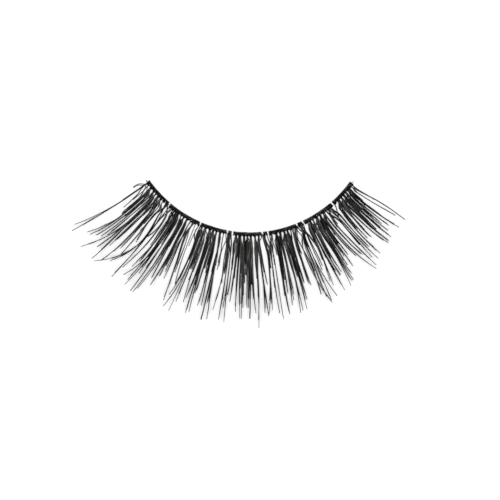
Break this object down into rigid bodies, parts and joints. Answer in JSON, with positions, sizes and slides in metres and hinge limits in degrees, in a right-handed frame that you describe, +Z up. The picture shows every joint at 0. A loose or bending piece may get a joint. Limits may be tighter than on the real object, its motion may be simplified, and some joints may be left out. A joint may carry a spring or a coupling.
{
  "type": "false eyelash strip",
  "caption": "Curved strip of false eyelashes: dark curled hair tied in dense clusters and crossed sparse sections along a fine clear thread, graded shorter towards the inner corner.",
  "frame": {"origin": "middle of the band, on the flat glue face under the knots, which lies on the surface", "axes": "+Z up from the surface; +X along the band's chord towards the inner corner of the eye; -Y the way the hair points"},
  "size_m": [0.0472, 0.0208, 0.0048],
  "materials": {
    "lash_hair": "black synthetic fibre with a soft sheen along the hairs",
    "clear_thread": "clear nylon"
  },
  "bodies": {
    "root": {"base_thread": "clear_thread", "hair_cluster_1": "lash_hair", "crossed_hair_1": "lash_hair", "hair_cluster_2": "lash_hair", "crossed_hair_2": "lash_hair", "hair_cluster_3": "lash_hair", "crossed_hair_3": "lash_hair", "hair_cluster_4": "lash_hair", "crossed_hair_4": "lash_hair", "hair_cluster_5": "lash_hair", "crossed_hair_5": "lash_hair", "hair_cluster_6": "lash_hair", "crossed_hair_6": "lash_hair", "hair_cluster_7": "lash_hair"}
  },
  "joints": []
}
